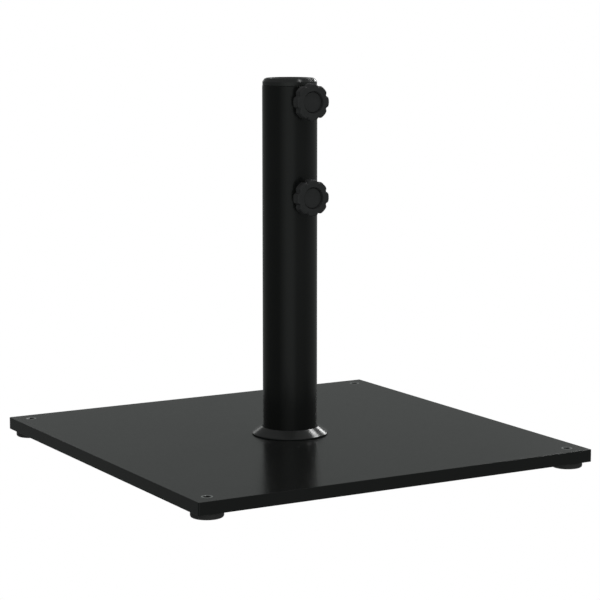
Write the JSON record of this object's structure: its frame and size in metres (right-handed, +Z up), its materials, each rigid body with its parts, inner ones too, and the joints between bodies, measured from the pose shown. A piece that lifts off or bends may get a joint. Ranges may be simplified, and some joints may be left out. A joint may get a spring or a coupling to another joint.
{
  "type": "parasol base",
  "caption": "Heavy square steel plate on levelling feet with an upright tube whose reducer sleeve and lobed clamp knobs hold a parasol's pole.",
  "frame": {"origin": "centre of the square base on the floor, under the tube's axis", "axes": "+Z up along the tube, the clamp knobs point towards -Y, the plate's sides run along X and Y"},
  "size_m": [0.45, 0.45, 0.392],
  "materials": {
    "powder_coat": "satin anthracite powder coat with a fine orange-peel surface",
    "gloss_black_plastic": "glossy moulded plastic",
    "knob_plastic": "fine-textured moulded plastic",
    "foot_rubber": "matt moulded rubber",
    "zinc_steel": "bright zinc-plated steel",
    "nylon": "natural nylon"
  },
  "bodies": {
    "base": {"base_plate": "powder_coat", "tube": "powder_coat", "tube_foot_disc": "zinc_steel", "plate_bolt_1": "zinc_steel", "plate_bolt_2": "zinc_steel", "plate_bolt_3": "zinc_steel", "collar": "gloss_black_plastic", "top_bush": "gloss_black_plastic", "weld_nut_upper": "powder_coat", "weld_nut_lower": "powder_coat"},
    "sleeve": {"reducer_sleeve": "gloss_black_plastic"},
    "pad_upper": {"thrust_pad_upper": "nylon"},
    "knob_upper": {"knob_grip_upper": "knob_plastic", "knob_cap_upper": "knob_plastic", "clamp_screw_upper": "zinc_steel"},
    "pad_lower": {"thrust_pad_lower": "nylon"},
    "knob_lower": {"knob_grip_lower": "knob_plastic", "knob_cap_lower": "knob_plastic", "clamp_screw_lower": "zinc_steel"},
    "glide_front_left": {"foot_glide_front_left": "foot_rubber"},
    "stud_front_left": {"foot_stud_front_left": "zinc_steel"},
    "glide_front_right": {"foot_glide_front_right": "foot_rubber"},
    "stud_front_right": {"foot_stud_front_right": "zinc_steel"},
    "glide_back_left": {"foot_glide_back_left": "foot_rubber"},
    "stud_back_left": {"foot_stud_back_left": "zinc_steel"},
    "glide_back_right": {"foot_glide_back_right": "foot_rubber"},
    "stud_back_right": {"foot_stud_back_right": "zinc_steel"}
  },
  "joints": [
    {"name": "sleeve_lift", "type": "slide", "parent": "base", "child": "sleeve", "axis": [0, 0, 1], "range_m": [0, 0.045]},
    {"name": "pad_upper_travel", "type": "slide", "parent": "base", "child": "pad_upper", "axis": [0, 1, 0], "range_m": [-0.005, 0.0035]},
    {"name": "knob_upper_turn", "type": "hinge", "parent": "pad_upper", "child": "knob_upper", "pos_m": [0, -0.045, 0.369], "axis": [0, 1, 0], "range_deg": [-1440, 1008]},
    {"name": "pad_lower_travel", "type": "slide", "parent": "base", "child": "pad_lower", "axis": [0, 1, 0], "range_m": [-0.005, 0.0035]},
    {"name": "knob_lower_turn", "type": "hinge", "parent": "pad_lower", "child": "knob_lower", "pos_m": [0, -0.045, 0.2715], "axis": [0, 1, 0], "range_deg": [-1440, 1008]},
    {"name": "glide_front_left_travel", "type": "slide", "parent": "base", "child": "glide_front_left", "axis": [0, 0, -1], "range_m": [0, 0.005]},
    {"name": "stud_front_left_turn", "type": "hinge", "parent": "glide_front_left", "child": "stud_front_left", "pos_m": [-0.207, -0.207, 0.0032], "axis": [0, 0, -1], "range_deg": [0, 1800]},
    {"name": "glide_front_right_travel", "type": "slide", "parent": "base", "child": "glide_front_right", "axis": [0, 0, -1], "range_m": [0, 0.005]},
    {"name": "stud_front_right_turn", "type": "hinge", "parent": "glide_front_right", "child": "stud_front_right", "pos_m": [0.207, -0.207, 0.0032], "axis": [0, 0, -1], "range_deg": [0, 1800]},
    {"name": "glide_back_left_travel", "type": "slide", "parent": "base", "child": "glide_back_left", "axis": [0, 0, -1], "range_m": [0, 0.005]},
    {"name": "stud_back_left_turn", "type": "hinge", "parent": "glide_back_left", "child": "stud_back_left", "pos_m": [-0.207, 0.207, 0.0032], "axis": [0, 0, -1], "range_deg": [0, 1800]},
    {"name": "glide_back_right_travel", "type": "slide", "parent": "base", "child": "glide_back_right", "axis": [0, 0, -1], "range_m": [0, 0.005]},
    {"name": "stud_back_right_turn", "type": "hinge", "parent": "glide_back_right", "child": "stud_back_right", "pos_m": [0.207, 0.207, 0.0032], "axis": [0, 0, -1], "range_deg": [0, 1800]}
  ],
  "couplings": [
    {"joint": "pad_upper_travel", "follows": "knob_upper_turn", "m_per_rad": 0.00019894},
    {"joint": "pad_lower_travel", "follows": "knob_lower_turn", "m_per_rad": 0.00019894},
    {"joint": "stud_front_left_turn", "follows": "glide_front_left_travel", "rad_per_m": 6283.2},
    {"joint": "stud_front_right_turn", "follows": "glide_front_right_travel", "rad_per_m": 6283.2},
    {"joint": "stud_back_left_turn", "follows": "glide_back_left_travel", "rad_per_m": 6283.2},
    {"joint": "stud_back_right_turn", "follows": "glide_back_right_travel", "rad_per_m": 6283.2}
  ]
}
